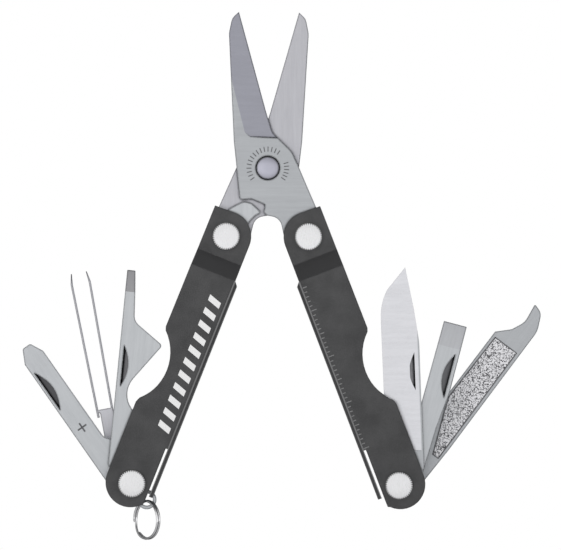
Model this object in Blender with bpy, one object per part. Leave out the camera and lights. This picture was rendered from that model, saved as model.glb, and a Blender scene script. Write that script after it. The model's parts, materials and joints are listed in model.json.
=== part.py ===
"""Folding pocket multi tool: scissors in the middle and two channel handles with three fold-out tools each.

Frame: origin at the middle of the open tool, +Z up along the scissors, -Y towards the front face, metres.
Flat pieces are drawn in a (u, v) plane. On a handle and its tools, u runs from the tool pin towards the head
pin when the tool is stowed, and v runs from the spine towards the open side. Lengths below are millimetres.
"""

import math

import bmesh
import bpy
from mathutils import Matrix, Vector

MM = 0.001

# Driving dimensions
SHEET = 0.8               # handle sheet thickness
PIN_SPAN = 54.0           # tool pin to head pin, along the handle
PIN_OFFSET = 0.85         # head pin sits this much nearer the open side than the tool pin
HEAD_PIN_RADIUS = 16.35   # scissor pivot to head pin
LEFT_PIN_ANGLE = 31.3     # head pins, measured from straight down, at rest
RIGHT_PIN_ANGLE = 30.6
LEFT_TILT = 21.75         # handle lean from vertical at rest
RIGHT_TILT = 20.87
REAR_BLADE_TURN = 0.9     # the rear blade is turned this much further from upright than the front one

ROW_MIDDLE = (2.96, -21.98)   # x and z of the frame's origin, measured from the scissor pivot

# How far each tool stands open at rest, in degrees from stowed
DEPLOY = {
    "bottle_opener": 16.2,
    "cross_driver": 56.8,
    "tweezers": 32.2,
    "knife_blade": 18.7,
    "flat_driver": 35.7,
    "nail_file": 57.5,
}

# Stack, measured along Y from the middle plane
BLADE_GAP = 0.05
BLADE_FACE = 1.30         # outer face of each scissor blade
EAR_INNER = 1.42
EAR_OUTER = EAR_INNER + SHEET
BODY_INNER = 4.8
BODY_OUTER = BODY_INNER + SHEET
KNOB_GAP = 0.1            # under a pin's head and its cap
KNOB_THICK = 0.65
FRONT_DECK = (-4.65, -3.35)   # bottle opener and knife
MIDDLE_DECK = (-3.2, -1.9)    # the two drivers
FILE_DECK = (2.0, 3.1)
TWEEZERS_DECK = (1.9, 2.6)    # front face, and depth of an arm
COLLAR_END = 1.8
SPACER_END = 4.65
LOOP_HALF = 0.45          # half thickness of the eyelet plate
LOOP_CLEAR = 0.55

# Handle outline, from the tool pin
SPINE_FACE = -5.0
SPINE_INNER = SPINE_FACE + SHEET
OPEN_EDGE = 5.45
HEAD_END = 59.0
HEAD_RADIUS = 5.1
JOG_TOP = 49.55
JOG_BOTTOM = 46.1
SPINE_TOP = 45.2
BEND_RADIUS = 1.2
END_RADIUS = 5.1
SCOOP_CENTRE = (24.1, 12.25)
SCOOP_RADIUS = 10.3
SLOT_TOP = 9.2
SLOT_EDGE = -3.7
TONGUE_END = -1.2
TONGUE_SLIT = 1.1         # half width of the slit that parts the two spring fingers

# Pins
HEAD_SHANK = 1.4
TOOL_SHANK = 1.5
RUNNING = 0.1
KNOB_RADIUS = 2.72
KNOB_TEETH = 38
KNURL_DEPTH = 0.24
COLLAR_RADIUS = 2.8
TAIL_SHANK = 0.9          # thin end of a pin, spread over its cap
SCISSOR_SHANK = 1.6
SCISSOR_HEAD = 2.35
SINK_GAP = 0.15           # round each rivet head, where it is let into its blade

# Ground faces: each is one plane that leaves the flat along a line and falls away at this slope
BLADE_GRIND_LINE = ((18.7, -7.55), (7.9, -4.85))
BLADE_GRIND_SLOPE = 0.09
KNIFE_GRIND_LINE = ((0.0, 4.9), (10.0, 4.9))
KNIFE_GRIND_SLOPE = 0.07
NICK_SHALLOW = 0.06
NICK_DEEP = 0.62

# Key ring
LOOP_EYE = (-2.1, -4.0)
EYE_RADIUS = 2.0
EYE_HOLE = 1.25
RING_RADIUS = 3.9
RING_WIRE = (0.5, 0.42)   # width and thickness of one turn
RING_TURN = -51
RING_JOG = 244            # where the two turns cross, degrees round from the top

TOOL_BACK = 5.2           # back edge of a stowed tool
TANG = 3.0
WEB = 0.6                 # thickness of the tweezers' web
TWEEZERS_SPLAY = (0.5, 0.2)   # how far the back and front arms spring out before their tips turn in
ROUND = 32                # sides on a full circle

STEEL = (0.62, 0.64, 0.66)


# Shapes in a plane -----------------------------------------------------------------------------------------

def arc(centre, radius, start, end, steps=12):
    """Points on an arc, angles in degrees from +u towards +v."""
    return [
        (
            centre[0] + radius * math.cos(math.radians(start + (end - start) * i / steps)),
            centre[1] + radius * math.sin(math.radians(start + (end - start) * i / steps)),
        )
        for i in range(steps + 1)
    ]


def rounded(corners):
    """A closed outline from corners (u, v) or (u, v, fillet radius)."""
    points = []
    for i, corner in enumerate(corners):
        here = Vector(corner[:2])
        radius = corner[2] if len(corner) > 2 else 0
        if not radius:
            points.append(tuple(here))
            continue
        to_last = (Vector(corners[i - 1][:2]) - here).normalized()
        to_next = (Vector(corners[(i + 1) % len(corners)][:2]) - here).normalized()
        half = to_last.angle(to_next) / 2
        middle = here + (to_last + to_next).normalized() * radius / math.sin(half)
        first = here + to_last * radius / math.tan(half) - middle
        last = here + to_next * radius / math.tan(half) - middle
        turn = first.angle_signed(last)
        steps = max(2, round(abs(math.degrees(turn)) / 15), round(abs(turn) * radius / 0.8))
        for k in range(steps + 1):
            spoke = first.copy()
            spoke.rotate(Matrix.Rotation(-turn * k / steps, 2))
            points.append(tuple(middle + spoke))
    return points


def circle(radius, centre=(0, 0), sides=ROUND):
    return arc(centre, radius, 0, 360 * (sides - 1) / sides, sides - 1)


def knurled(radius, teeth, depth=KNURL_DEPTH):
    """A disc edge with fine teeth."""
    points = []
    for i in range(teeth):
        for share, r in ((0.0, radius), (0.5, radius - depth)):
            angle = 2 * math.pi * (i + share) / teeth
            points.append((r * math.cos(angle), r * math.sin(angle)))
    return points


# Solids ----------------------------------------------------------------------------------------------------

def material(name, colour, roughness, metallic):
    made = bpy.data.materials.new(name)
    made.use_nodes = True
    shader = made.node_tree.nodes["Principled BSDF"]
    shader.inputs["Base Color"].default_value = (*colour, 1)
    shader.inputs["Roughness"].default_value = roughness
    shader.inputs["Metallic"].default_value = metallic
    made.diffuse_color = (*colour, 1)
    return made


def new_object(name, bm, surface=None):
    bmesh.ops.recalc_face_normals(bm, faces=bm.faces)
    mesh = bpy.data.meshes.new(name)
    bm.to_mesh(mesh)
    bm.free()
    made = bpy.data.objects.new(name, mesh)
    bpy.context.collection.objects.link(made)
    if surface:
        mesh.materials.append(surface)
        mesh.shade_smooth()
        mesh.set_sharp_from_angle(angle=math.radians(30))
    return made


def prism(name, near, far, surface=None):
    """A solid between two outlines with the same number of points, each point (x, y, z) in millimetres."""
    bm = bmesh.new()
    first = [bm.verts.new(Vector(p) * MM) for p in near]
    last = [bm.verts.new(Vector(p) * MM) for p in far]
    bm.faces.new(first)
    bm.faces.new(reversed(last))
    for i in range(len(first)):
        j = (i + 1) % len(first)
        bm.faces.new((first[j], first[i], last[i], last[j]))
    return new_object(name, bm, surface)


def plate(name, outline, front, back, side=1, surface=None):
    """A flat piece: outline points (u, v) become z and x, between two depths. side -1 mirrors it."""
    return prism(
        name,
        [(side * v, front, u) for u, v in outline],
        [(side * v, back, u) for u, v in outline],
        surface,
    )


def across(name, profile, low, high, side=1):
    """A bar across the piece: profile points (u, y), from v low to v high."""
    return prism(
        name,
        [(side * low, y, u) for u, y in profile],
        [(side * high, y, u) for u, y in profile],
    )


def grind(name, corners, face, outward, side=1):
    """A cutter for a ground face. Each corner is (u, v, depth below the face); outward is -1 at the front."""
    return prism(
        name,
        [(side * v, face - outward * depth, u) for u, v, depth in corners],
        [(side * v, face + outward * 2, u) for u, v, depth in corners],
    )


def fallen(corners, line, slope):
    """Corners with their depth on a plane that leaves a flat face along a line and falls to its right."""
    start, end = Vector(line[0]), Vector(line[1])
    along = (end - start).normalized()
    down = Vector((along.y, -along.x))
    return [(u, v, slope * (Vector((u, v)) - start).dot(down)) for u, v in corners]


def combine(target, tool, operation="DIFFERENCE"):
    """Cuts, joins or intersects target with tool, which is then hidden as a helper."""
    modifier = target.modifiers.new(tool.name, "BOOLEAN")
    modifier.operation = operation
    modifier.object = tool
    modifier.solver = "EXACT"
    tool.hide_render = True
    tool.display_type = "WIRE"
    tool.parent = target
    return target


def bore(target, radius, centre=(0, 0), side=1, reach=9):
    hole = plate(f"{target.name}_bore", circle(radius, centre), -reach, reach, side)
    return combine(target, hole)


def axis_at(name, x, z, angle, parent=None):
    """An empty on a joint's axis. angle turns +z towards +x, in degrees."""
    made = bpy.data.objects.new(name, None)
    bpy.context.collection.objects.link(made)
    made.parent = parent
    made.location = (x * MM, 0, z * MM)
    made.rotation_euler = (0, math.radians(angle), 0)
    return made


def on(parent, *objects):
    for obj in objects:
        obj.parent = parent


# Scissors --------------------------------------------------------------------------------------------------

def scissor_outline():
    """The front blade open at rest, (z, x) with the blade to the left and the tail to the lower right."""
    return rounded([
        (31.95, -5.9),
        (30.7, -7.3, 2.0),
        (27.6, -7.95, 4.0),
        (5.5, -6.95),
        (-6.5, -5.7, 0.5),
        (-6.3, -3.3, 1.0),
        (-7.5, -0.45, 0.4),
        (-9.1, -0.85, 0.15),
        (-9.75, -0.1, 0.5),
        (-10.2, 2.5, 2.4),
        (-15.4, 3.6, 1.0),
        (-19.3, 6.2, 2.0),
        (-18.4, 10.6, 2.6),
        (-13.0, 12.0, 1.5),
        (-0.4, 6.6, 1.0),
        (3.3, 4.9, 3.0),
        (7.2, 0.95, 2.0),
        (11.5, -0.35, 3.0),
    ])


def turned(point, angle):
    """A point (u, v, ...) turned about the origin from +v towards +u."""
    c, s = math.cos(math.radians(angle)), math.sin(math.radians(angle))
    return (point[0] * c + point[1] * s, point[1] * c - point[0] * s, *point[2:])


def blade_grind(name, side, face, outward, turn=0):
    """The cutting face: nothing along its line, deepest at the edge."""
    corners = [(8.6, -5.4), (7.2, -4.6), (6.4, -3.6), (6.1, 2.4), (16.0, 2.4), (33.5, -3.0), (33.5, -11.0),
               (20.0, -9.5)]
    bevel = fallen(corners, BLADE_GRIND_LINE, BLADE_GRIND_SLOPE)
    return grind(name, [turned(corner, turn) for corner in bevel], face, outward, side)


def scissors(steel):
    front = plate("front_scissor_blade", scissor_outline(), -BLADE_FACE, -BLADE_GAP, 1, steel)
    combine(front, blade_grind("front_blade_grind", 1, -BLADE_FACE, -1))
    rear_outline = [turned(point, REAR_BLADE_TURN) for point in scissor_outline()]
    rear = plate("rear_scissor_blade", rear_outline, BLADE_GAP, BLADE_FACE, -1, steel)
    combine(rear, blade_grind("rear_blade_grind", -1, BLADE_FACE, 1, REAR_BLADE_TURN))
    right_pin = pin_place(RIGHT_PIN_ANGLE)
    left_pin = pin_place(LEFT_PIN_ANGLE)
    for blade, side, pin in ((front, 1, right_pin), (rear, -1, left_pin)):
        bore(blade, SCISSOR_SHANK + RUNNING, side=side)
        bore(blade, HEAD_SHANK + RUNNING, (pin[1], pin[0]), side)
    # Each rivet head is let into its blade.
    combine(front, plate("front_sink", circle(SCISSOR_HEAD + SINK_GAP), -3, -BLADE_FACE + 0.45))
    combine(rear, plate("rear_sink", circle(SCISSOR_HEAD + SINK_GAP), BLADE_FACE - 0.45, 3))
    rivet = plate("scissor_rivet", circle(SCISSOR_HEAD), -BLADE_FACE - 0.02, -BLADE_FACE + 0.4, 1, steel)
    shank = plate("scissor_rivet_shank", circle(SCISSOR_SHANK), -BLADE_FACE + 0.2, BLADE_FACE - 0.1)
    combine(rivet, shank, "UNION")
    hole = SCISSOR_SHANK + RUNNING
    collar("scissor_rivet_washer", SCISSOR_HEAD, hole, BLADE_FACE - 0.35, BLADE_FACE, steel)


def pin_place(angle):
    """Distance sideways and down from the scissor pivot to a head pin."""
    return (
        HEAD_PIN_RADIUS * math.sin(math.radians(angle)),
        -HEAD_PIN_RADIUS * math.cos(math.radians(angle)),
    )


# Handles ---------------------------------------------------------------------------------------------------

def from_head(point):
    """A handle point measured from the tool pin, moved so that the head pin is the origin."""
    return (point[0] - PIN_SPAN, point[1] - PIN_OFFSET, *point[2:])


def handle_outline():
    reach = math.sqrt(SCOOP_RADIUS ** 2 - (SCOOP_CENTRE[1] - OPEN_EDGE) ** 2)
    scoop = math.degrees(math.asin(reach / SCOOP_RADIUS))
    points = [(HEAD_END, OPEN_EDGE - 0.15)]
    points += [(SCOOP_CENTRE[0] + reach + 0.5, OPEN_EDGE)]
    points += arc(SCOOP_CENTRE, SCOOP_RADIUS, -90 + scoop - 2, -90 - scoop + 2, 14)
    points += [(SCOOP_CENTRE[0] - reach - 0.5, OPEN_EDGE)]
    points += arc((0.15, OPEN_EDGE - END_RADIUS), END_RADIUS, 90, 225, 14)
    points += [(TONGUE_END - 1.5, SPINE_FACE), (SPINE_TOP, SPINE_FACE)]
    points += [(JOG_BOTTOM, PIN_OFFSET - HEAD_RADIUS)]
    points += arc((PIN_SPAN, PIN_OFFSET), HEAD_RADIUS, 270, 360, 10)
    return [from_head(p) for p in points]


def sheet_profile(ear, body, jog_shift, top, bottom):
    """Half thicknesses of the folded sheet along the handle, as a closed (u, y) outline."""
    half = [(top, ear), (JOG_TOP + jog_shift, ear), (JOG_BOTTOM + jog_shift, body), (bottom, body)]
    ring = half + [(u, -y) for u, y in reversed(half)]
    return [(u - PIN_SPAN, y) for u, y in ring]


def handle(name, side, coat):
    """A channel folded from one sheet: ears at the head, a jog, wide walls, a spine and its spring tongue."""
    body = plate(name, handle_outline(), -BODY_OUTER, BODY_OUTER, side, coat)
    outer = across(f"{name}_outer", sheet_profile(EAR_OUTER, BODY_OUTER, 0, 70, -10), -10, 10, side)
    combine(body, outer, "INTERSECT")
    section = rounded([
        (12, -BODY_OUTER),
        (12, BODY_OUTER),
        (SPINE_FACE - PIN_OFFSET, BODY_OUTER, BEND_RADIUS),
        (SPINE_FACE - PIN_OFFSET, -BODY_OUTER, BEND_RADIUS),
    ])
    bend = prism(
        f"{name}_bend",
        [(side * v, y, -70) for v, y in section],
        [(side * v, y, 10) for v, y in section],
    )
    combine(body, bend, "INTERSECT")
    shift = SHEET * math.tan(math.radians(22))
    inner = sheet_profile(EAR_INNER, BODY_INNER, shift, 75, -15)
    combine(body, across(f"{name}_inner", inner, SPINE_INNER - PIN_OFFSET, 20, side))
    head = [(u, y) for u, y in sheet_profile(EAR_INNER, BODY_INNER, shift, 75, SPINE_TOP)]
    combine(body, across(f"{name}_head_gap", head, -20, 20, side))
    low, high = from_head((-10, 0))[0], from_head((SLOT_TOP, 0))[0]
    slot = [(low, SPINE_INNER - PIN_OFFSET), (high, SPINE_INNER - PIN_OFFSET),
            (high, SLOT_EDGE - PIN_OFFSET), (low, SLOT_EDGE - PIN_OFFSET)]
    combine(body, plate(f"{name}_slot", slot, -9, 9, side))
    end = [from_head(p) for p in ((-10, -10), (TONGUE_END, -10), (TONGUE_END, SLOT_EDGE), (-10, SLOT_EDGE))]
    combine(body, plate(f"{name}_tongue_end", end, -9, 9, side))
    slit_top = SLOT_TOP - 1
    slit = [from_head(p) for p in ((-10, -10), (slit_top, -10), (slit_top, SLOT_EDGE), (-10, SLOT_EDGE))]
    combine(body, plate(f"{name}_slit", slit, -TONGUE_SLIT, TONGUE_SLIT, side))
    bore(body, HEAD_SHANK + RUNNING, side=side)
    bore(body, TOOL_SHANK + RUNNING, from_head((0, 0)), side)
    return body


def pin(name, shank, face, steel):
    """A pivot pin with a knurled head at the front, a shank and a thin end."""
    head = plate(name, knurled(KNOB_RADIUS, KNOB_TEETH), -face - KNOB_GAP - KNOB_THICK, -face - KNOB_GAP,
                 1, steel)
    combine(head, plate(f"{name}_shank", circle(shank), -face - KNOB_GAP - 0.3, face + 0.05), "UNION")
    tail = plate(f"{name}_tail", circle(TAIL_SHANK, sides=20), face - 0.3, face + KNOB_GAP + KNOB_THICK - 0.1)
    return combine(head, tail, "UNION")


def cap(name, face, steel):
    """The knurled cap that closes a pin at the rear."""
    made = plate(name, knurled(KNOB_RADIUS, KNOB_TEETH), face + KNOB_GAP, face + KNOB_GAP + KNOB_THICK,
                 1, steel)
    return combine(made, plate(f"{name}_hole", circle(TAIL_SHANK + RUNNING, sides=20), 0, 9))


def collar(name, radius, hole, front, back, surface):
    made = plate(name, circle(radius), front, back, 1, surface)
    return combine(made, plate(f"{name}_hole", circle(hole), -9, 9))


# Tools -----------------------------------------------------------------------------------------------------

def tang(back):
    """The root of a tool round its pin: a step down from the back edge, then a round end."""
    return [(3.2, back), (2.3, min(back - 1.2, 3.6))] + arc((0, 0), TANG, 112, 262, 10)


def nick(name, start, end, edge, depth, face, outward, side):
    """A crescent thumbnail nick: deep along its straight side, running out on its curved side."""
    steps = 10
    curve = [
        (start + (end - start) * i / steps, edge - depth * math.sin(math.pi * i / steps))
        for i in range(steps + 1)
    ]
    slope = (NICK_DEEP - NICK_SHALLOW) / depth
    sloped = [(u, v, NICK_DEEP - slope * (edge - v)) for u, v in curve]
    return grind(name, sloped, face, outward, side)


def driver_tip(name, start, tip, face, outward, depth, side):
    corners = [(start, -9, 0), (start, 9, 0), (tip + 1, 9, depth), (tip + 1, -9, depth)]
    return grind(name, corners, face, outward, side)


def bottle_opener(steel, side, front, back):
    outline = rounded([
        (43.3, TOOL_BACK, 0.15),
        (43.3, 3.5, 0.15),
        (38.9, 3.1),
        (33.0, 2.7, 2.2),
        (28.6, -3.5, 0.7),
        (16.9, 5.0, 4.9),
        (12.3, -2.9, 0.8),
        (1.0, -2.85),
    ]) + list(reversed(tang(TOOL_BACK)))
    made = plate("bottle_opener", outline, front, back, side, steel)
    combine(made, driver_tip("opener_tip_front", 38.9, 43.3, front, -1, 0.5, side))
    combine(made, driver_tip("opener_tip_back", 38.9, 43.3, back, 1, 0.5, side))
    combine(made, nick("opener_nick", 19.5, 28.0, 4.3, 1.2, front, -1, side))
    return bore(made, TOOL_SHANK + RUNNING, side=side)


def cross_driver(steel, side, front, back):
    outline = rounded([
        (32.3, 4.1, 0.6),
        (35.3, 2.6, 0.6),
        (35.3, 0.7, 0.6),
        (32.6, -0.65, 0.8),
        (11.0, -0.65, 2.0),
        (8.4, -2.9, 1.5),
        (1.0, -2.85),
    ]) + list(reversed(tang(4.1)))
    made = plate("cross_driver", outline, front, back, side, steel)
    combine(made, driver_tip("cross_tip_front", 29.5, 35.3, front, -1, 0.25, side))
    combine(made, driver_tip("cross_tip_back", 29.5, 35.3, back, 1, 0.25, side))
    combine(made, nick("cross_nick", 20.6, 30.0, 3.45, 1.5, front, -1, side))
    return bore(made, TOOL_SHANK + RUNNING, side=side)


def tweezers(steel, side, front, deep):
    """One folded spring-steel piece: a web on the pin, and an arm turned back from each side of it."""
    sheet, arm_top, web_end, tip = 0.45, 4.7, 15.9, 44.3
    arm_low = arm_top - 3.5
    web = rounded([
        (15.0, 4.0),
        (web_end, arm_top - 0.1),
        (web_end, arm_low + 0.1),
        (13.0, arm_low, 0.5),
        (8.0, -2.6, 1.5),
        (1.0, -2.85),
    ]) + list(reversed(tang(4.0)))
    made = plate("tweezers", web, front, front + WEB, side, steel)
    for name, outside, inside in (("tweezers_arm_a", arm_top, arm_top - sheet),
                                  ("tweezers_arm_b", arm_low, arm_low + sheet)):
        out = 1 if inside < outside else -1
        splay = TWEEZERS_SPLAY[0] if out == 1 else -TWEEZERS_SPLAY[1]
        rows = [
            (web_end - 1.6, outside, inside),
            (tip - 2.2, outside + splay, inside + splay),
            (tip, outside + splay - out * 0.45, outside + splay - out * 0.65),
        ]
        depths = [(front, front + deep), (front + WEB, front + deep - WEB), (front + 1.0, front + 1.5)]
        bm = bmesh.new()
        rings = []
        for (u, a, b), (y0, y1) in zip(rows, depths):
            ring = [(a, y0), (b, y0), (b, y1), (a, y1)]
            rings.append([bm.verts.new(Vector((side * v, y, u)) * MM) for v, y in ring])
        bm.faces.new(rings[0])
        bm.faces.new(rings[-1])
        for first, last in zip(rings, rings[1:]):
            for i in range(4):
                j = (i + 1) % 4
                bm.faces.new((first[i], first[j], last[j], last[i]))
        combine(made, new_object(name, bm), "UNION")
    return bore(made, TOOL_SHANK + RUNNING, side=side)


def knife(steel, side, front, back):
    outline = rounded([
        (44.4, 2.95),
        (35.8, 4.4, 12.0),
        (29.0, 5.25, 12.0),
        (18.0, TOOL_BACK, 0),
    ]) + list(reversed(tang(TOOL_BACK)))[::-1]
    outline += [(1.0, -2.85), (9.0, -2.85), (10.0, -2.3), (33.0, -2.4)]
    outline += arc((34.2, 9.3), 11.7, 270, 299.5, 6)[1:]
    made = plate("knife_blade", outline, front, back, side, steel)
    bevel = fallen([(7.0, 5.6), (7.0, -3.4), (46.0, -3.4), (46.0, 5.6)], KNIFE_GRIND_LINE, KNIFE_GRIND_SLOPE)
    combine(made, grind("knife_grind_front", bevel, front, -1, side))
    combine(made, grind("knife_grind_back", bevel, back, 1, side))
    combine(made, nick("knife_nick", 19.3, 27.0, 4.15, 1.15, front, -1, side))
    return bore(made, TOOL_SHANK + RUNNING, side=side)


def flat_driver(steel, side, front, back):
    outline = rounded([
        (34.8, TOOL_BACK, 0.15),
        (34.8, 0.35, 0.15),
        (12.0, 0.1, 3.0),
        (7.0, -2.9, 1.5),
        (1.0, -2.85),
    ]) + list(reversed(tang(4.1))) + [(13.0, 4.45), (21.0, TOOL_BACK)]
    made = plate("flat_driver", outline, front, back, side, steel)
    combine(made, driver_tip("flat_tip_front", 29.9, 34.8, front, -1, 0.42, side))
    combine(made, driver_tip("flat_tip_back", 29.9, 34.8, back, 1, 0.42, side))
    combine(made, nick("flat_nick", 19.6, 28.8, 4.35, 1.5, front, -1, side))
    return bore(made, TOOL_SHANK + RUNNING, side=side)


def nail_file(steel, side, front, back):
    outline = rounded([
        (12.0, 4.1),
        (42.2, 4.2, 4.0),
        (45.7, 2.6, 2.0),
        (46.4, 0.45, 0.25),
        (42.2, 1.0, 3.0),
        (39.4, -0.3, 2.0),
        (37.0, -2.75, 0.3),
        (12.0, -3.0, 2.0),
        (1.0, -2.9),
    ]) + list(reversed(tang(3.8)))
    made = plate("nail_file", outline, front, back, side, steel)
    # The cut panel stands a little proud of the plate.
    panel = rounded([(36.0, 3.35, 0.3), (36.0, -2.0, 0.3), (20.0, -2.45), (9.2, 2.0, 0.6), (9.2, 3.35, 0.6)])
    combine(made, plate("file_panel", panel, front - 0.08, front + 0.2, side), "UNION")
    return bore(made, TOOL_SHANK + RUNNING, side=side)


def scissor_spring(steel, side):
    """The return spring: an eye on the left head pin, a finger in the front blade's notch."""
    outline = rounded([
        (5.3, 1.6, 1.5),
        (7.9, -0.6, 2.0),
        (8.15, -2.3, 1.5),
        (7.15, -4.75, 0.25),
        (6.1, -3.9, 0.6),
        (4.4, -3.2, 0.8),
        (-3.4, -3.4, 2.8),
        (-3.4, 3.2, 2.8),
    ])
    made = plate("scissor_spring", outline, -BLADE_FACE + 0.05, -BLADE_GAP - 0.05, side, steel)
    return bore(made, HEAD_SHANK + RUNNING, side=side)


# Key ring --------------------------------------------------------------------------------------------------

def key_loop(steel, side):
    """A small eyelet plate that turns on the left tool pin."""
    neck = Vector(LOOP_EYE).normalized()
    across_neck = Vector((-neck.y, neck.x))
    start, end = neck * 1.0, Vector(LOOP_EYE) - neck * 1.0
    wide, narrow = across_neck * 1.5, across_neck * 1.2
    strip = [tuple(p) for p in (start + wide, end + narrow, end - narrow, start - wide)]
    made = plate("key_loop", circle(2.7), -LOOP_HALF, LOOP_HALF, side, steel)
    combine(made, plate("key_loop_neck", strip, -LOOP_HALF, LOOP_HALF, side), "UNION")
    eye = plate("key_loop_eye", circle(EYE_RADIUS, LOOP_EYE, 24), -LOOP_HALF, LOOP_HALF, side)
    combine(made, eye, "UNION")
    combine(made, plate("key_loop_hole", circle(EYE_HOLE, LOOP_EYE, 24), -2, 2, side))
    return bore(made, TOOL_SHANK + RUNNING, side=side)


def split_ring(steel, radius, width, thick):
    """Two turns of flat wire with a jog where they cross, hanging with its top at the origin."""
    turn, steps, jog = 2 * math.pi, 84, 0.45
    crossing = math.radians(RING_JOG)
    bm = bmesh.new()
    rings = []
    for i in range(steps + 1):
        angle = jog + 2 * (turn - jog) * i / steps
        share = min(1, max(0, (angle - (turn - jog)) / (2 * jog)))
        level = (share * share * (3 - 2 * share) - 0.5) * (thick + 0.08)
        out = Vector((math.sin(angle + crossing), 0, math.cos(angle + crossing)))
        centre = Vector((0, 0, -radius)) + Vector((0, level, 0))
        ring = []
        for along, up in ((-0.5, -0.5), (0.5, -0.5), (0.5, 0.5), (-0.5, 0.5)):
            place = centre + out * (radius + width * along) + Vector((0, thick * up, 0))
            ring.append(bm.verts.new(place * MM))
        rings.append(ring)
    bm.faces.new(rings[0])
    bm.faces.new(rings[-1])
    for first, last in zip(rings, rings[1:]):
        for i in range(4):
            j = (i + 1) % 4
            bm.faces.new((first[i], first[j], last[j], last[i]))
    return new_object("split_ring", bm, steel)


# Assembly --------------------------------------------------------------------------------------------------

def half(prefix, side, pin_angle, tilt, tools, coat, steel, bright):
    """A handle with its pins and tools. side is -1 on the left."""
    x, z = pin_place(pin_angle)
    lean = -side * tilt
    fold = axis_at(f"{prefix}_fold_axis", side * x, z, lean)
    shell = handle(f"{prefix}_handle", side, coat)
    head_pin = pin(f"{prefix}_head_pin", HEAD_SHANK, EAR_OUTER, bright)
    head_cap = cap(f"{prefix}_head_pin_cap", EAR_OUTER, bright)
    on(fold, shell, head_pin, head_cap)
    u, v = from_head((0, 0))
    root = axis_at(f"{prefix}_tool_axis", side * v, u, 0, fold)
    tool_pin = pin(f"{prefix}_tool_pin", TOOL_SHANK, BODY_OUTER, bright)
    tool_cap = cap(f"{prefix}_tool_pin_cap", BODY_OUTER, bright)
    on(root, tool_pin, tool_cap)
    for made in tools:
        made.parent = root
        made.rotation_euler = (0, math.radians(side * DEPLOY[made.name]), 0)
    return fold, root


def build():
    for obj in list(bpy.data.objects):
        bpy.data.objects.remove(obj)
    steel = material("brushed_steel", STEEL, 0.34, 1.0)
    bright = material("bright_steel", (0.85, 0.85, 0.86), 0.25, 1.0)
    coat = material("grey_coat", (0.09, 0.09, 0.09), 0.5, 0.3)

    scissors(steel)
    left_tools = [
        bottle_opener(steel, -1, *FRONT_DECK),
        cross_driver(steel, -1, *MIDDLE_DECK),
        tweezers(steel, -1, *TWEEZERS_DECK),
    ]
    right_tools = [
        knife(steel, 1, *FRONT_DECK),
        flat_driver(steel, 1, *MIDDLE_DECK),
        nail_file(steel, 1, *FILE_DECK),
    ]
    left_fold, left_root = half("left", -1, LEFT_PIN_ANGLE, LEFT_TILT, left_tools, coat, steel, bright)
    right_fold, right_root = half("right", 1, RIGHT_PIN_ANGLE, RIGHT_TILT, right_tools, coat, steel, bright)

    hole = TOOL_SHANK + RUNNING
    on(left_fold, scissor_spring(steel, -1))
    on(right_fold, collar("right_head_spacer", 3.4, HEAD_SHANK + RUNNING, 0.1, BLADE_FACE, steel))
    on(left_root,
       collar("left_front_collar", COLLAR_RADIUS, hole, -COLLAR_END, -LOOP_CLEAR, steel),
       collar("left_rear_collar", COLLAR_RADIUS, hole, LOOP_CLEAR, COLLAR_END, steel),
       collar("tweezers_spacer", COLLAR_RADIUS, hole, TWEEZERS_DECK[0] + WEB + 0.1, SPACER_END, steel))
    on(right_root,
       collar("right_collar", COLLAR_RADIUS, hole, -COLLAR_END, COLLAR_END, steel),
       collar("file_spacer", COLLAR_RADIUS, hole, FILE_DECK[1] + 0.1, SPACER_END, steel))

    loop = key_loop(steel, -1)
    on(left_root, loop)
    # The ring hangs plumb from the eyelet, turned so that its wire passes through.
    swing = axis_at("ring_axis", -LOOP_EYE[1], LOOP_EYE[0], -LEFT_TILT, loop)
    ring = split_ring(bright, RING_RADIUS, *RING_WIRE)
    ring.parent = swing
    ring.rotation_euler = (0, 0, math.radians(RING_TURN))

    for obj in bpy.data.objects:
        if obj.parent is None:
            obj.location -= Vector((ROW_MIDDLE[0], 0, ROW_MIDDLE[1])) * MM


build()
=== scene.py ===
"""Looks of the folding multi tool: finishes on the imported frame, and the fine pieces that stand on it.

Distances are millimetres in a handle's or tool's own (u, v) plane, as in the part: u runs from the
tool pin along the piece, v towards its back edge, and y is the world's depth. MM turns them into metres.
"""

import json
import math
import random

import bmesh
import bpy
from mathutils import Matrix, Vector

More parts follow.
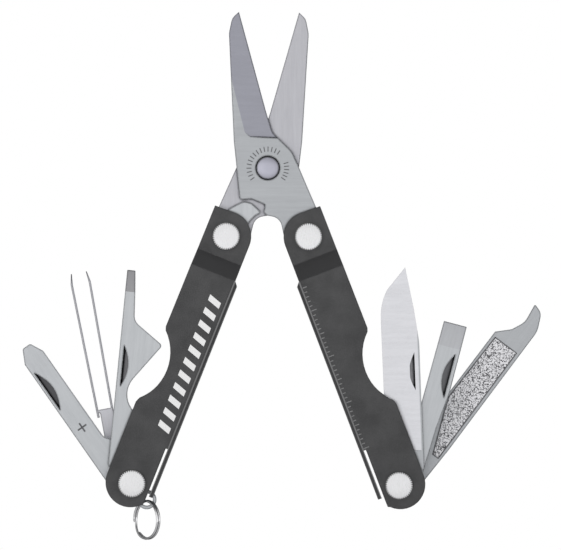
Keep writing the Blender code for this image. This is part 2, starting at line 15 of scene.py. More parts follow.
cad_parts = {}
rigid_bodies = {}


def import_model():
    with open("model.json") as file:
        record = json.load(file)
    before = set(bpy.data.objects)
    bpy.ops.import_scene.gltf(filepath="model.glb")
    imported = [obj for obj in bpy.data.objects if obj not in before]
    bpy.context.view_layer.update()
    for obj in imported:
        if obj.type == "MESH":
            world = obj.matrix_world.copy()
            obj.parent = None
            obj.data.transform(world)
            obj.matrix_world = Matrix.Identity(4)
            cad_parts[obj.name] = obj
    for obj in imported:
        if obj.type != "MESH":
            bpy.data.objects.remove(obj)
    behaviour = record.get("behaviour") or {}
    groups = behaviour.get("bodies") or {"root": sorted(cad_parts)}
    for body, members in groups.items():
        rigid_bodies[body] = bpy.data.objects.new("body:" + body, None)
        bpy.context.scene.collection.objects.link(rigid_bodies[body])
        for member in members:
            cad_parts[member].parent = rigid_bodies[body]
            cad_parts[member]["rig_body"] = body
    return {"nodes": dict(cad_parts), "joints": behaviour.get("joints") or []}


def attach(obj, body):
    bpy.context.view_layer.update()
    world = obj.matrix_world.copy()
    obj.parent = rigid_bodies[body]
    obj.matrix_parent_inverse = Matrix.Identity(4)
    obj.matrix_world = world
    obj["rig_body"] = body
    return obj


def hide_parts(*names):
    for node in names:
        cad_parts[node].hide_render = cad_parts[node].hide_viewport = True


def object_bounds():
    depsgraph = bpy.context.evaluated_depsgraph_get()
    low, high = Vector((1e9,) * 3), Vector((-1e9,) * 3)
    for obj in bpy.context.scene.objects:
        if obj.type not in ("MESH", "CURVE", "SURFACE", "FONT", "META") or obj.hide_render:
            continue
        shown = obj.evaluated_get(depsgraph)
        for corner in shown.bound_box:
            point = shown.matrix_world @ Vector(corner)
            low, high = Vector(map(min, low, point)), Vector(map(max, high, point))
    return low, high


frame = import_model()
cad_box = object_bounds()

MM = 0.001
JOINTS = {joint["name"]: joint for joint in frame["joints"]}
SIDE = {"left": -1, "right": 1}

# Places and sizes
PIN_LENGTH, PIN_OFFSET = 54.0, 0.85      # from head pin to tool pin: along the handle, and across it
PIN_SKEW = math.degrees(math.atan2(PIN_OFFSET, PIN_LENGTH))
DEPLOY = {"nail_file": 57.5, "cross_driver": 56.8}       # how far each marked tool is swung open
HEAD_FACE = 2.22          # outer face of a handle's ear
BODY_FACE = 5.6           # outer face of a handle's wall
SPINE_V = -5.0            # the handle's spine
SHANKS = {"head": (1.4, HEAD_FACE), "tool": (1.5, BODY_FACE)}       # pin radius, and the face it comes to
PIN_TAIL = 0.9            # radius of a pin's riveted tail
CORE = 0.3                # innermost ring of a turned piece
BLADE_FRONT = -1.30       # the front scissor blade's front face
DRIVER_FRONT = -3.20      # the cross-point driver's front face
FILE_FRONT = 1.92         # the nail file's front face

KNOB_RADIUS = 2.84
KNOB_TEETH = 38
KNOB_HEIGHT = 0.65
KNOB_GAP = 0.1            # between a knob and the handle
TOOTH_DEPTH = 0.38
TOOTH_STEPS = 6           # points round the rim for each tooth
RIVET_FRONT, RIVET_BACK = -1.32, 1.22
RIVET_RADIUS = 2.30
RIVET_SHANK = 1.6

RING_RADIUS = 3.84
RING_WIRE = 0.25
RING_GAP = 0.54           # between the centres of the ring's two turns
RING_DROP = 0.3           # how far the wire hangs below the middle of the eye
RING_CROSSING = 244       # where the turns cross, in degrees round the ring
RING_YAW = -51            # how far the ring is turned out of the handle's plane

WELD = 0.002              # vertices this close are one
BREAK = 0.05              # width of a tool's broken edge
CORNER = 32               # an edge sharper than this is broken
CREASE = 48               # an edge sharper than this stays a hard line
FLAT_SIDE = 0.97          # a face turned this squarely to the front or back is a flat side
MARK_LINE = 0.09          # half width of an engraved line

# Colours
WHITE = (1.0, 1.0, 1.0)
BRIGHT_DARK = (0.93, 0.93, 0.93)
RING_PALE, RING_DARK = (0.95, 0.95, 0.95), (0.82, 0.82, 0.83)
STEEL_PALE, STEEL_DARK = (0.68, 0.70, 0.715), (0.56, 0.58, 0.595)
BLADE_PALE, BLADE_DARK = (0.58, 0.60, 0.615), (0.48, 0.495, 0.51)
REAR_PALE, REAR_DARK = (0.66, 0.66, 0.69), (0.54, 0.54, 0.57)
TWEEZERS_PALE, TWEEZERS_DARK = (0.76, 0.76, 0.80), (0.64, 0.64, 0.67)
RIVET_PALE, RIVET_DARK = (0.62, 0.62, 0.70), (0.56, 0.56, 0.64)
GRIND = (0.60, 0.61, 0.63)       # faces cut at a slant
SCISSOR_GRIND = (0.45, 0.455, 0.51)
KNIFE_GRIND = (0.95, 0.95, 0.98)
OPENER_GRIND = (0.42, 0.42, 0.43)
# Painted shade along tools' outer edges and where they are seen edge on, standing in for edge shade and
# contact shadows.
STEEL_RIM_SHADE = (0.03, 0.032, 0.035)
# Painted shade on steep walls such as nail nicks.
NICK_SHADE = (0.10, 0.10, 0.105)
COAT_DARK, COAT_PALE = (0.052, 0.052, 0.053), (0.094, 0.094, 0.095)
# Painted highlight on the bends of the handle's jog.
COAT_BEND_HIGHLIGHT = (0.24, 0.24, 0.24)
# Painted shade on the handle's sloping faces.
COAT_SLOPE_SHADE = (0.053, 0.053, 0.054)
# Painted shade along the handle's outer edges.
COAT_RIM_SHADE = (0.012, 0.012, 0.012)
# The file panel's painted shade in its valleys, and its pale steel lifted by painted highlight.
FILE_VALLEY_SHADE, FILE_STEEL_AND_SHEEN = (0.015, 0.015, 0.02), (0.95, 0.95, 0.97)
INK_WORN, INK_PALE = (0.70, 0.70, 0.70), (0.97, 0.97, 0.96)
# Dark floor of engraved lines; round the file panel it is painted shade along the edge.
GROOVE_DARK, GROOVE_PALE = (0.10, 0.10, 0.105), (0.20, 0.20, 0.21)
SCALE_DARK, SCALE_PALE = (0.24, 0.24, 0.24), (0.38, 0.38, 0.38)
FLOOR_PALE = (0.95, 0.95, 0.95)
STUDIO_BELOW = (0.60, 0.60, 0.61)
STUDIO_ABOVE = (0.30, 0.30, 0.31)
STUDIO_GREYS = ((0.38, 0.86), (0.52, 0.86), (0.68, 0.50), (0.80, 0.34))      # share of the height, and grey

# Stage, in metres
FLOOR_DROP = 0.045
FLOOR_RADIUS = 0.32
CAMERA_OFFSET = Vector((0.0026, -1.2764, -0.0219))       # from the scissor rivet
LIGHT_TARGET = (0, 0, -0.03)
LIGHTS = (                # name, place from the scissor rivet, size, power
    ("key", (-0.7, -0.9, 0.15), (0.5, 0.9), 1.6),
    ("fill", (0.9, -0.5, 0.0), (0.4, 0.9), 0.8),
    ("back", (0.1, 0.8, 0.4), (0.8, 0.5), 1.2),
)


# Shader building -----------------------------------------------------------------------------------

class Shader:
    """A material's node tree, with short calls for the nodes used here."""

    def __init__(self, name):
        self.material = bpy.data.materials.new(name)
        self.material.use_nodes = True
        self.tree = self.material.node_tree
        self.main = self.tree.nodes["Principled BSDF"]
        coordinates = self.tree.nodes.new("ShaderNodeTexCoord")
        self.millimetres = self.scaled(coordinates.outputs["Object"], 1 / MM)

    def link(self, source, node, socket):
        if isinstance(source, bpy.types.NodeSocket):
            self.tree.links.new(source, node.inputs[socket])
        else:
            node.inputs[socket].default_value = source

    def scaled(self, source, scale):
        node = self.tree.nodes.new("ShaderNodeVectorMath")
        node.operation = "SCALE"
        self.link(source, node, 0)
        node.inputs["Scale"].default_value = scale
        return node.outputs["Vector"]

    def math(self, operation, first, second=0.0):
        node = self.tree.nodes.new("ShaderNodeMath")
        node.operation = operation
        self.link(first, node, 0)
        self.link(second, node, 1)
        return node.outputs[0]

    def stretched(self, angle, along, across):
        """Coordinates turned so that grain runs at that angle from +z towards +x, then stretched."""
        turn = self.tree.nodes.new("ShaderNodeMapping")
        self.link(self.millimetres, turn, "Vector")
        turn.inputs["Rotation"].default_value = (0, -math.radians(angle), 0)
        stretch = self.tree.nodes.new("ShaderNodeMapping")
        self.link(turn.outputs[0], stretch, "Vector")
        stretch.inputs["Scale"].default_value = (across, across, along)
        return stretch.outputs[0]

    def noise(self, vector, scale, detail=3.0, roughness=0.55):
        node = self.tree.nodes.new("ShaderNodeTexNoise")
        self.link(vector, node, "Vector")
        node.inputs["Scale"].default_value = scale
        node.inputs["Detail"].default_value = detail
        node.inputs["Roughness"].default_value = roughness
        return node.outputs["Fac"]

    def ramp(self, source, low, high, start=0.0, end=1.0):
        """The source's span low to high as start to end."""
        node = self.tree.nodes.new("ShaderNodeMapRange")
        self.link(source, node, "Value")
        node.inputs["From Min"].default_value = low
        node.inputs["From Max"].default_value = high
        node.inputs["To Min"].default_value = start
        node.inputs["To Max"].default_value = end
        return node.outputs["Result"]

    def mix(self, factor, first, second):
        node = self.tree.nodes.new("ShaderNodeMix")
        node.data_type = "RGBA"
        self.link(factor, node, "Factor")
        for name, colour in (("A", first), ("B", second)):
            socket = [s for s in node.inputs if s.name == name and s.type == "RGBA"][0]
            if isinstance(colour, bpy.types.NodeSocket):
                self.tree.links.new(colour, socket)
            else:
                socket.default_value = (*colour, 1)
        return [s for s in node.outputs if s.type == "RGBA"][0]

    def rim_shade(self, radius):
        """1 along the outer edges of a front or back face, within that many millimetres: where edge shade
        is painted.
        """
        soft = self.tree.nodes.new("ShaderNodeBevel")
        soft.samples = 4
        soft.inputs["Radius"].default_value = radius * MM
        turned = self.ramp(self.squareness(soft.outputs[0]), 0.995, 0.93)
        return self.math("MULTIPLY", turned, self.ramp(self.facing(), 0.95, 0.98))

    def grazing(self):
        """0 where the surface is seen square on, 1 where it is seen edge on."""
        node = self.tree.nodes.new("ShaderNodeLayerWeight")
        node.inputs["Blend"].default_value = 0.5
        return node.outputs["Facing"]

    def facing(self):
        """How squarely the surface faces front or back, 1 on a flat side."""
        plain = self.tree.nodes.new("ShaderNodeNewGeometry")
        return self.squareness(plain.outputs["True Normal"])

    def squareness(self, normal):
        """The share of a normal that points to the front or back."""
        split = self.tree.nodes.new("ShaderNodeSeparateXYZ")
        self.link(normal, split, 0)
        return self.math("ABSOLUTE", split.outputs["Y"])

    def crevice_shade(self, colour, reach=0.6, depth=0.1):
        """The colour, darkened by painted shade where another surface stands within that many millimetres.
        """
        node = self.tree.nodes.new("ShaderNodeAmbientOcclusion")
        node.samples = 6
        node.inputs["Distance"].default_value = reach * MM
        shade = self.tree.nodes.new("ShaderNodeMix")
        shade.data_type = "RGBA"
        shade.blend_type = "MULTIPLY"
        shade.inputs["Factor"].default_value = 1.0
        grey = self.ramp(node.outputs["AO"], 0.45, 0.85, depth, 1.0)
        first, second = [s for s in shade.inputs if s.type == "RGBA"]
        self.tree.links.new(colour, first)
        self.tree.links.new(grey, second)
        return [s for s in shade.outputs if s.type == "RGBA"][0]

    def bump(self, height, distance, strength=1.0):
        node = self.tree.nodes.new("ShaderNodeBump")
        node.inputs["Strength"].default_value = strength
        node.inputs["Distance"].default_value = distance * MM
        self.link(height, node, "Height")
        self.tree.links.new(node.outputs[0], self.main.inputs["Normal"])

    def finish(self, colour, roughness, metallic, anisotropic=0.0, painted_glow=0.0):
        # The emission is painted light: the surface gives off its own colour though it is no lamp.
        self.main.inputs["Emission Strength"].default_value = painted_glow
        inputs = (("Base Color", colour), ("Emission Color", colour), ("Roughness", roughness),
                  ("Metallic", metallic))
        for name, value in inputs:
            if isinstance(value, tuple):
                value = (*value, 1)
            self.link(value, self.main, name)
        self.main.inputs["Anisotropic"].default_value = anisotropic
        return self.material


def coat():
    """Satin dark grey coating: orange peel, faint clouding, painted shade on the outer edges and slopes and
    in crevices, and painted highlights on the bends.
    """
    s = Shader("grey_coat")
    cloud = s.noise(s.millimetres, 0.22, 4)
    grain = s.noise(s.millimetres, 9.0, 3, 0.6)
    speck = s.noise(s.millimetres, 5.0, 2)
    tone = s.math("ADD", s.math("MULTIPLY", cloud, 0.5), s.math("MULTIPLY", speck, 0.5))
    colour = s.mix(s.ramp(tone, 0.38, 0.62), COAT_DARK, COAT_PALE)
    rim_shade = s.rim_shade(0.3)
    # Painted shade on sloping faces, picked by how squarely a face turns to the front.
    slope_shade = s.math("MULTIPLY", s.ramp(s.facing(), 0.86, 0.82), s.ramp(s.facing(), 0.45, 0.5))
    # Painted highlight on the bends, picked by how squarely a face turns to the front.
    bend = s.math("MULTIPLY", s.ramp(s.facing(), 0.97, 0.955), s.ramp(s.facing(), 0.82, 0.86))
    colour = s.mix(slope_shade, colour, COAT_SLOPE_SHADE)
    colour = s.mix(bend, colour, COAT_BEND_HIGHLIGHT)
    # Painted shade along the outer edges.
    colour = s.mix(s.math("MULTIPLY", rim_shade, 0.8), colour, COAT_RIM_SHADE)
    # Painted shade in crevices and round the knobs.
    colour = s.crevice_shade(colour, 0.5, 0.2)
    roughness = s.ramp(grain, 0.3, 0.7, 0.40, 0.56)
    s.bump(grain, 0.012)
    return s.finish(colour, roughness, 0.0)


def brushed(name, angle, pale, dark, rough=0.32, ground=None, rim_shade=0.45):
    """Brushed steel, with painted shade on steep walls, outer edges and crevices. ground is the tone of
    faces cut at a slant, and the last argument the reach of the painted shade along the outer edge.
    """
    s = Shader(name)
    fine = s.noise(s.stretched(angle, 0.35, 14.0), 1.0, 4, 0.65)
    broad = s.noise(s.stretched(angle, 0.05, 1.3), 1.0, 3, 0.5)
    smear = s.noise(s.millimetres, 0.12, 3)
    tone = s.math("ADD", s.math("MULTIPLY", fine, 0.45), s.math("MULTIPLY", broad, 0.35))
    tone = s.math("ADD", tone, s.math("MULTIPLY", smear, 0.2))
    colour = s.mix(s.ramp(tone, 0.36, 0.64), dark, pale)
    if ground:
        slant = s.ramp(s.facing(), 0.9998, 0.997)
        stroked = s.mix(s.ramp(tone, 0.36, 0.64), tuple(0.86 * part for part in ground), ground)
        colour = s.mix(slant, colour, stroked)
    # Painted shade on steep walls such as nail nicks.
    steep_shade = s.math("MULTIPLY", s.ramp(s.facing(), 0.962, 0.955), s.ramp(s.facing(), 0.84, 0.86))
    colour = s.mix(s.math("MULTIPLY", steep_shade, 0.9), colour, NICK_SHADE)
    # Painted shade along the outer edges, also standing in for contact shadows between parts.
    colour = s.mix(s.math("MULTIPLY", s.rim_shade(rim_shade), 0.92), colour, STEEL_RIM_SHADE)
    # Painted shade in crevices.
    colour = s.crevice_shade(colour)
    roughness = s.ramp(tone, 0.35, 0.65, rough - 0.05, rough + 0.1)
    s.bump(fine, 0.006, 0.8)
    return s.finish(colour, roughness, 1.0, 0.35)


def turned_steel(name, pale, dark, rough=0.25, shade=0.0):
    """Bright polished steel with a faint straight grain. shade is how strongly painted shade darkens it
    where it is seen edge on.
    """
    s = Shader(name)
    fine = s.noise(s.stretched(8, 0.5, 16.0), 1.0, 3, 0.6)
    smear = s.noise(s.millimetres, 0.5, 3)
    tone = s.math("ADD", s.math("MULTIPLY", fine, 0.6), s.math("MULTIPLY", smear, 0.4))
    colour = s.mix(s.ramp(tone, 0.36, 0.64), dark, pale)
    if shade:
        # Painted shade where the surface is seen edge on.
        colour = s.mix(s.math("MULTIPLY", s.ramp(s.grazing(), 0.15, 0.5), shade), colour, STEEL_RIM_SHADE)
    s.bump(fine, 0.004, 0.6)
    return s.finish(colour, s.ramp(tone, 0.35, 0.65, rough - 0.04, rough + 0.08), 1.0)


def file_cut():
    """The file's cut panel: pale steel lifted by painted highlight, crossed by winding valleys of painted
    shade, and given a faint painted glow.
    """
    s = Shader("file_cut")
    broad = s.noise(s.millimetres, 1.7, 2, 0.5)
    valley = s.math("ABSOLUTE", s.math("SUBTRACT", broad, 0.5))
    colour = s.mix(s.ramp(valley, 0.022, 0.048), FILE_VALLEY_SHADE, FILE_STEEL_AND_SHEEN)
    s.bump(s.ramp(valley, 0.0, 0.08), 0.05, 0.6)
    return s.finish(colour, 0.5, 0.2, painted_glow=0.1)


def print_ink():
    """Flat white print, slightly worn through, given a faint painted glow."""
    s = Shader("white_print")
    wear = s.noise(s.millimetres, 3.0, 5, 0.7)
    colour = s.mix(s.ramp(wear, 0.22, 0.34), INK_WORN, INK_PALE)
    s.bump(wear, 0.01, 0.5)
    return s.finish(colour, 0.55, 0.0, painted_glow=0.16)


def groove():
    """The dark floor of an engraved line."""
    s = Shader("engraved_line")
    mottle = s.noise(s.millimetres, 6.0, 3)
    colour = s.mix(s.ramp(mottle, 0.3, 0.7), GROOVE_DARK, GROOVE_PALE)
    return s.finish(colour, 0.6, 0.3)


def scale_line():
    """Ruler lines cut through the coat to the paler metal."""
    s = Shader("ruler_line")
    mottle = s.noise(s.millimetres, 4.0, 3)
    colour = s.mix(s.ramp(mottle, 0.3, 0.7), SCALE_DARK, SCALE_PALE)
    return s.finish(colour, 0.5, 0.4)


# Frames of the handles and tools -------------------------------------------------------------------

def place_of(joint):
    return Vector(JOINTS[joint]["pos_m"]) / MM


def plane(origin, angle, side):
    """A matrix from (v, y, u) millimetres at an origin to metres. angle turns +z towards +x."""
    turn = Matrix.Rotation(math.radians(angle), 4, "Y")
    mirror = Matrix.Diagonal((side, 1, 1, 1))
    return Matrix.Scale(MM, 4) @ Matrix.Translation(origin) @ turn @ mirror


def handle_lean(head, tool, side):
    line = head - tool
    return math.degrees(math.atan2(line.x, line.z)) - side * PIN_SKEW


PIVOT = place_of("scissor_snip")
HEAD = {"left": place_of("left_fold"), "right": place_of("right_fold")}
TOOL = {"left": place_of("opener_swing"), "right": place_of("knife_swing")}
LEAN = {side: handle_lean(HEAD[side], TOOL[side], SIDE[side]) for side in SIDE}


def handle_plane(prefix):
    """The (v, y, u) matrix of a handle."""
    return plane(TOOL[prefix], LEAN[prefix], SIDE[prefix])


def tool_plane(node, prefix):
    """The (v, y, u) matrix of a tool, swung open as at rest."""
    return plane(TOOL[prefix], LEAN[prefix] + SIDE[prefix] * DEPLOY[node], SIDE[prefix])


# Meshes --------------------------------------------------------------------------------------------

def new_piece(name, bm, surface, body, angle=30):
    """A mesh object that rides on a body."""
    bmesh.ops.recalc_face_normals(bm, faces=bm.faces)
    mesh = bpy.data.meshes.new(name)
    bm.to_mesh(mesh)
    bm.free()
    mesh.materials.append(surface)
    mesh.shade_smooth()
    mesh.set_sharp_from_angle(angle=math.radians(angle))
    made = bpy.data.objects.new(name, mesh)
    bpy.context.scene.collection.objects.link(made)
    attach(made, body)
    return made


def slab(bm, corners, low, high, matrix):
    """Adds a flat plate: outline corners (v, u), between two depths."""
    near = [bm.verts.new(matrix @ Vector((v, low, u))) for v, u in corners]
    far = [bm.verts.new(matrix @ Vector((v, high, u))) for v, u in corners]
    bm.faces.new(near)
    bm.faces.new(reversed(far))
    for i in range(len(corners)):
        j = (i + 1) % len(corners)
        bm.faces.new((near[j], near[i], far[i], far[j]))


def tube(bm, rows):
    """Joins rows of vertices, ring after ring, and closes both ends."""
    bm.faces.new(rows[0])
    bm.faces.new(rows[-1])
    for first, last in zip(rows, rows[1:]):
        for i in range(len(first)):
            j = (i + 1) % len(first)
            bm.faces.new((first[i], first[j], last[j], last[i]))


def lathe(name, centre, rings, surface, body, segments):
    """A turned piece about a line along y. Each ring is (radius, y, tooth depth)."""
    bm = bmesh.new()
    per_tooth = segments // KNOB_TEETH
    rows = []
    for radius, y, depth in rings:
        row = []
        for i in range(segments):
            wave = min(1, max(0, abs((i % per_tooth) / per_tooth - 0.5) * 4 - 0.5))
            r = radius - depth * (1 - wave)
            angle = 2 * math.pi * i / segments
            point = (centre.x + r * math.cos(angle), y, centre.z + r * math.sin(angle))
            row.append(bm.verts.new(Vector(point) * MM))
        rows.append(row)
    tube(bm, rows)
    return new_piece(name, bm, surface, body, 40)


def knob_rings(base, out):
    """The knurled head of a pin: toothed side, broken edge, flat face. out is -1 at the front."""
    top = base + out * KNOB_HEIGHT
    return [
        (KNOB_RADIUS - 0.10, base, TOOTH_DEPTH),
        (KNOB_RADIUS, base + out * 0.08, TOOTH_DEPTH),
        (KNOB_RADIUS, top - out * 0.10, TOOTH_DEPTH),
        (KNOB_RADIUS - 0.05, top - out * 0.03, TOOTH_DEPTH),
        (KNOB_RADIUS - TOOTH_DEPTH - 0.12, top - out * 0.01, 0),
        (PIN_TAIL, top, 0),
        (CORE, top, 0),
    ]


def flat_side(face):
    return abs(face.normal.y) > FLAT_SIDE


def skin(node, surface, bevel=BREAK, segments=3):
    """The visible surface of a CAD node: flat faces rejoined, edges broken, grind lines kept."""
    source = frame["nodes"][node]
    bm = bmesh.new()
    bm.from_mesh(source.data)
    bmesh.ops.remove_doubles(bm, verts=bm.verts, dist=WELD * MM)
    bmesh.ops.dissolve_limit(bm, angle_limit=math.radians(0.3), verts=bm.verts, edges=bm.edges)
    sharp = math.radians(CORNER)
    corners = [e for e in bm.edges if e.is_manifold and e.calc_face_angle(0) > sharp]
    bmesh.ops.bevel(bm, geom=corners, offset=bevel * MM, offset_type="OFFSET", segments=segments,
                    profile=0.5, affect="EDGES", clamp_overlap=True, miter_outer="ARC")
    bm.normal_update()
    for face in bm.faces:
        face.smooth = True
    for edge in bm.edges:
        if len(edge.link_faces) != 2:
            continue
        bend = edge.calc_face_angle(0)
        ground = bend > math.radians(0.6) and all(flat_side(face) for face in edge.link_faces)
        edge.smooth = not (ground or bend > math.radians(CREASE))
    mesh = bpy.data.meshes.new(f"{node}_skin")
    bm.to_mesh(mesh)
    bm.free()
    mesh.materials.append(surface)
    made = bpy.data.objects.new(f"{node}_skin", mesh)
    bpy.context.scene.collection.objects.link(made)
    weigh = made.modifiers.new("weigh", "WEIGHTED_NORMAL")
    weigh.keep_sharp = True
    weigh.weight = 100
    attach(made, source["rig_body"])
    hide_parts(node)


# Pieces --------------------------------------------------------------------------------------------

def pins(bright):
    """Each pin's shank and knurled head, and the cap on its rear end."""
    segments = KNOB_TEETH * TOOTH_STEPS
    for prefix in ("left", "right"):
        for kind, (radius, face) in SHANKS.items():
            centre = (HEAD if kind == "head" else TOOL)[prefix]
            body = f"{prefix}_handle"
            seat, step = face + KNOB_GAP, face + KNOB_GAP / 2
            front = list(reversed(knob_rings(-seat, -1)))
            shank = [(radius, -seat, 0), (radius, step, 0), (PIN_TAIL, step, 0)]
            tail = [(PIN_TAIL, step + 0.5, 0), (CORE, step + 0.58, 0)]
            rings = front + shank + tail
            made = lathe(f"{prefix}_{kind}_pin_turned", centre, rings, bright, body, segments)
            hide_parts(f"{prefix}_{kind}_pin")
            dished = [(PIN_TAIL + 0.15, seat + 0.64, 0), (PIN_TAIL + 0.08, seat + 0.5, 0)]
            rear = knob_rings(seat, 1)[:-2] + dished
            cap = lathe(f"{prefix}_{kind}_cap_turned", centre, rear, bright, body, segments)
            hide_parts(f"{prefix}_{kind}_pin_cap")


def rivet(surface):
    """The scissor rivet: a flat head let into the blade, its edge just broken."""
    front, shoulder, back = RIVET_FRONT, RIVET_FRONT + 0.42, RIVET_BACK
    rings = [
        (CORE, front, 0),
        (RIVET_RADIUS - 0.10, front, 0),
        (RIVET_RADIUS - 0.03, front + 0.03, 0),
        (RIVET_RADIUS, front + 0.10, 0),
        (RIVET_RADIUS, shoulder, 0),
        (RIVET_SHANK, shoulder, 0),
        (RIVET_SHANK, back - 0.1, 0),
        (RIVET_SHANK - 0.1, back, 0),
        (CORE, back, 0),
    ]
    made = lathe("scissor_rivet_turned", PIVOT, rings, surface, "front_blade", KNOB_TEETH * 2)
    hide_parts("scissor_rivet")


def split_ring(surface):
    """Two turns of spring wire, sprung apart where they cross."""
    top = place_of("ring_swing")
    turn = 2 * math.pi
    jog, clear = 0.62, 0.30       # half the crossing, and the wire left off at each end, in radians
    steps, sides, flat = 220, 12, 0.92
    crossing = math.radians(RING_CROSSING)
    swing = Matrix.Rotation(math.radians(RING_YAW), 3, "Z")
    across = swing @ Vector((0, 1, 0))
    bm = bmesh.new()
    rows = []
    for i in range(steps + 1):
        angle = clear + 2 * (turn - clear) * i / steps
        share = min(1, max(0, (angle - (turn - jog)) / (2 * jog)))
        level = (share * share * (3 - 2 * share) - 0.5) * RING_GAP
        out = Vector((math.sin(angle + crossing), 0, math.cos(angle + crossing)))
        hang = Vector((0, level, -RING_RADIUS - RING_DROP))
        centre = swing @ (out * RING_RADIUS + hang) + top
        out = swing @ out
        size = RING_WIRE * min(1.0, 0.55 + 0.15 * min(i, steps - i))
        row = []
        for k in range(sides):
            a = 2 * math.pi * k / sides
            spot = centre + out * (size * math.cos(a)) + across * (size * flat * math.sin(a))
            row.append(bm.verts.new(spot * MM))
        rows.append(row)
    tube(bm, rows)
    made = new_piece("split_ring_wire", bm, surface, "ring", 50)
    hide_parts("split_ring")


def handle_print(ink):
    """A plain row of slanted white bars along the left handle's front."""
    matrix = handle_plane("left")
    bm = bmesh.new()
    count, start, pitch = 11, 12.6, 2.75
    wide, tall, slant = 1.25, 2.7, 0.45
    middle = -1.9
    for i in range(count):
        u = start + pitch * i
        corners = [
            (middle - tall / 2, u - slant),
            (middle - tall / 2, u + wide - slant),
            (middle + tall / 2, u + wide + slant),
            (middle + tall / 2, u + slant),
        ]
        slab(bm, corners, -BODY_FACE - 0.02, -BODY_FACE + 0.01, matrix)
    new_piece("left_handle_print", bm, ink, "left_handle")


def ruler(surface):
    """Millimetre lines along the spine of the right handle's front, longer each five and ten."""
    matrix = handle_plane("right")
    bm = bmesh.new()
    first, count, base = 9.6, 36, SPINE_V + 0.95
    for i in range(count):
        u = first + i
        length = 1.15 if i % 10 == 0 else 0.9 if i % 5 == 0 else 0.62
        low, high = u - MARK_LINE, u + MARK_LINE
        corners = [(base, low), (base + length, low), (base + length, high), (base, high)]
        slab(bm, corners, -BODY_FACE - 0.012, -BODY_FACE + 0.01, matrix)
    new_piece("right_handle_ruler", bm, surface, "right_handle")


def pivot_marks(surface):
    """Short lines engraved round the scissor rivet."""
    matrix = plane(PIVOT, 0, 1)
    bm = bmesh.new()
    inner, outer = 3.35, 4.35
    for start, end, count in ((-125, 35, 15), (75, 125, 6)):
        for i in range(count):
            angle = math.radians(start + (end - start) * i / (count - 1))
            along = Vector((math.sin(angle), math.cos(angle)))
            side = Vector((along.y, -along.x)) * MARK_LINE
            near, far = along * inner, along * outer
            corners = [near - side, far - side, far + side, near + side]
            slab(bm, [tuple(c) for c in corners], BLADE_FRONT - 0.01, BLADE_FRONT + 0.02, matrix)
    new_piece("scissor_pivot_marks", bm, surface, "front_blade")


def cross_mark(surface):
    """A plain cross engraved on the cross-point driver."""
    matrix = tool_plane("cross_driver", "left")
    bm = bmesh.new()
    middle, arm, wide = (1.8, 15.2), 1.05, 0.16
    corners = []
    for k in range(4):
        c, s = math.cos(k * math.pi / 2), math.sin(k * math.pi / 2)
        for x, z in ((wide, wide), (wide, arm), (-wide, arm)):
            corners.append((middle[0] + x * c - z * s, middle[1] + x * s + z * c))
    slab(bm, corners, DRIVER_FRONT - 0.01, DRIVER_FRONT + 0.02, matrix)
    new_piece("cross_driver_mark", bm, surface, "cross_driver")


def file_panel(surface, line):
    """The nail file's cut panel: a field of small uneven peaks inside a thin dark outline of painted shade.
    """
    matrix = tool_plane("nail_file", "right")
    outline = [(3.35, 36.0), (-2.0, 36.0), (-2.4, 20.5), (2.0, 9.2), (3.35, 9.2)]
    rng = random.Random(11)
    step, start_v, start_u = 0.2, -2.7, 8.8
    columns, rows = 32, 138
    stray, peaks = 0.06, (0.0, 0.02, 0.09, 0.12)

    def inside(v, u, margin=0.0):
        for (av, au), (bv, bu) in zip(outline, outline[1:] + outline[:1]):
            edge = Vector((bv - av, bu - au)).normalized()
            if edge.x * (u - au) - edge.y * (v - av) > -margin:
                return False
        return True

    if not inside(0.5, 25.0):
        outline.reverse()
    bm = bmesh.new()
    grid = {}
    for i in range(columns + 1):
        for j in range(rows + 1):
            v, u = start_v + step * i, start_u + step * j
            shift = Vector((rng.uniform(-stray, stray), rng.uniform(-stray, stray)))
            height = rng.choice(peaks) * rng.uniform(0.7, 1.0)
            if not inside(v, u, 0.12):
                height = 0.0
            if inside(v, u, -0.05):
                spot = Vector((v + shift.x, FILE_FRONT - 0.01 - height, u + shift.y))
                grid[i, j] = bm.verts.new(matrix @ spot)
    for (i, j), corner in grid.items():
        others = [grid.get(key) for key in ((i + 1, j), (i + 1, j + 1), (i, j + 1))]
        if all(others):
            bm.faces.new((corner, *others))
    bmesh.ops.triangulate(bm, faces=bm.faces)
    new_piece("nail_file_cut", bm, surface, "nail_file", 180)

    # The outline: thin dark strips of painted shade along the panel's edge.
    bm = bmesh.new()
    for (av, au), (bv, bu) in zip(outline, outline[1:] + outline[:1]):
        edge = Vector((bv - av, bu - au)).normalized()
        out = Vector((edge.y, -edge.x)) * MARK_LINE
        reach = edge * MARK_LINE
        a, b = Vector((av, au)) - reach, Vector((bv, bu)) + reach
        corners = [a - out, b - out, b + out, a + out]
        slab(bm, [tuple(c) for c in corners], FILE_FRONT - 0.03, FILE_FRONT + 0.1, matrix)
    new_piece("nail_file_outline", bm, line, "nail_file")


# Stage ---------------------------------------------------------------------------------------------

def area_light(name, place, size, power):
    """A soft light aimed at the tool, placed from the scissor rivet."""
    light = bpy.data.lights.new(name, "AREA")
    light.shape = "RECTANGLE"
    light.size, light.size_y = size
    light.energy = power
    made = bpy.data.objects.new(name, light)
    bpy.context.scene.collection.objects.link(made)
    made.location = Vector(place) + PIVOT * MM
    aim = Vector(LIGHT_TARGET) - Vector(place)
    made.rotation_euler = aim.to_track_quat("-Z", "Y").to_euler()


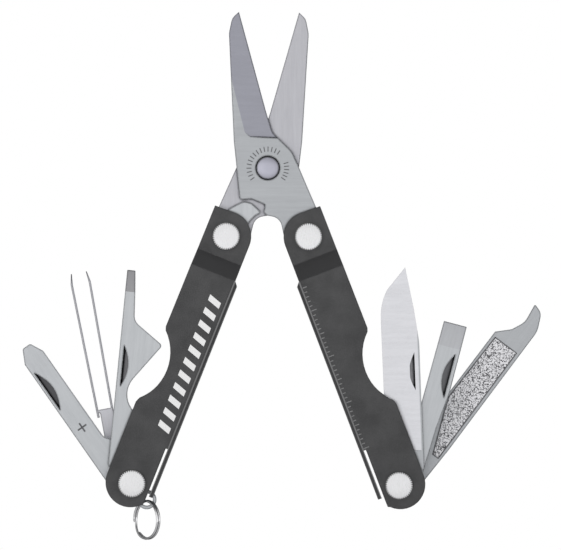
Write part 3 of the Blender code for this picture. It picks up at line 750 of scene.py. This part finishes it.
def world():
    """White where the camera looks past the object; a soft grey studio where metal mirrors it."""
    made = bpy.data.worlds.new("studio")
    bpy.context.scene.world = made
    made.use_nodes = True
    tree = made.node_tree
    tree.nodes.clear()
    out = tree.nodes.new("ShaderNodeOutputWorld")
    seen = tree.nodes.new("ShaderNodeBackground")
    seen.inputs["Color"].default_value = (*WHITE, 1)
    lit = tree.nodes.new("ShaderNodeBackground")
    place = tree.nodes.new("ShaderNodeTexCoord")
    split = tree.nodes.new("ShaderNodeSeparateXYZ")
    tree.links.new(place.outputs["Generated"], split.inputs[0])
    ramp = tree.nodes.new("ShaderNodeValToRGB")
    height = tree.nodes.new("ShaderNodeMapRange")
    height.inputs["From Min"].default_value = -1
    tree.links.new(split.outputs["Z"], height.inputs["Value"])
    tree.links.new(height.outputs["Result"], ramp.inputs["Fac"])
    stops = ramp.color_ramp.elements
    stops[0].position, stops[0].color = 0.0, (*STUDIO_BELOW, 1)
    stops[1].position, stops[1].color = 1.0, (*STUDIO_ABOVE, 1)
    for position, grey in STUDIO_GREYS:
        stop = stops.new(position)
        stop.color = (grey, grey, grey * 1.015, 1)
    tree.links.new(ramp.outputs[0], lit.inputs["Color"])
    path = tree.nodes.new("ShaderNodeLightPath")
    choose = tree.nodes.new("ShaderNodeMixShader")
    tree.links.new(path.outputs["Is Camera Ray"], choose.inputs[0])
    tree.links.new(lit.outputs[0], choose.inputs[1])
    tree.links.new(seen.outputs[0], choose.inputs[2])
    tree.links.new(choose.outputs[0], out.inputs[0])


def floor():
    """A plain pale floor under the tool."""
    bm = bmesh.new()
    bmesh.ops.create_circle(bm, cap_ends=True, segments=96, radius=FLOOR_RADIUS)
    mesh = bpy.data.meshes.new("floor")
    bm.to_mesh(mesh)
    bm.free()
    s = Shader("pale_floor")
    s.bump(s.noise(s.millimetres, 1.5, 3), 0.02, 0.3)
    mesh.materials.append(s.finish(FLOOR_PALE, 0.7, 0.0))
    made = bpy.data.objects.new("floor", mesh)
    bpy.context.scene.collection.objects.link(made)
    made.location = (0, 0, cad_box[0].z - FLOOR_DROP)


def camera():
    """Level, square on to the front, far enough back to flatten the view."""
    lens = bpy.data.cameras.new("camera")
    lens.lens = 400
    lens.sensor_width = 36
    lens.clip_end = 20
    made = bpy.data.objects.new("camera", lens)
    bpy.context.scene.collection.objects.link(made)
    made.location = PIVOT * MM + CAMERA_OFFSET
    made.rotation_euler = (math.radians(90), 0, 0)
    bpy.context.scene.camera = made


# Assembly ------------------------------------------------------------------------------------------

left, right = LEAN["left"], LEAN["right"]
bright = turned_steel("bright_steel", WHITE, BRIGHT_DARK)
ring_steel = turned_steel("ring_steel", RING_PALE, RING_DARK, 0.16, 0.9)
handle_coat = coat()
finishes = {
    "front_scissor_blade": brushed("front_blade_steel", 90, BLADE_PALE, BLADE_DARK, 0.36, SCISSOR_GRIND),
    "rear_scissor_blade": brushed("rear_blade_steel", 0, REAR_PALE, REAR_DARK, 0.36, GRIND),
    "scissor_spring": brushed("spring_steel", 0, STEEL_PALE, STEEL_DARK),
    "scissor_rivet_washer": brushed("washer_steel", 0, STEEL_PALE, STEEL_DARK),
    "bottle_opener": brushed("opener_steel", left - 16, STEEL_PALE, STEEL_DARK, 0.34, OPENER_GRIND),
    "cross_driver": brushed("cross_driver_steel", left - 57, STEEL_PALE, STEEL_DARK, 0.34, GRIND),
    "tweezers": brushed("tweezers_steel", left - 32, TWEEZERS_PALE, TWEEZERS_DARK, 0.3),
    "knife_blade": brushed("knife_steel", 90, BLADE_PALE, BLADE_DARK, 0.3, KNIFE_GRIND, 0.06),
    "flat_driver": brushed("flat_driver_steel", right + 36, STEEL_PALE, STEEL_DARK, 0.34, GRIND),
    "nail_file": brushed("nail_file_steel", right + 57, BLADE_PALE, BLADE_DARK, 0.34),
}
spacer_steel = brushed("spacer_steel", 0, STEEL_PALE, STEEL_DARK)
for node in ("left_front_collar", "left_rear_collar", "tweezers_spacer", "right_collar", "file_spacer",
             "right_head_spacer"):
    finishes[node] = spacer_steel
for node, finish in finishes.items():
    skin(node, finish)
skin("key_loop", brushed("key_loop_steel", 0, STEEL_PALE, STEEL_DARK, 0.3), 0.2, 4)
for node in ("left_handle", "right_handle"):
    skin(node, handle_coat, 0.24)

pins(bright)
rivet(brushed("rivet_steel", 90, RIVET_PALE, RIVET_DARK, 0.4))
split_ring(ring_steel)
handle_print(print_ink())
ruler(scale_line())
engraved = groove()
pivot_marks(engraved)
cross_mark(engraved)
file_panel(file_cut(), engraved)

world()
floor()
camera()
for name, place, size, power in LIGHTS:
    area_light(name, place, size, power)
bpy.context.scene.view_settings.view_transform = "Standard"
bpy.context.scene.view_settings.look = "None"
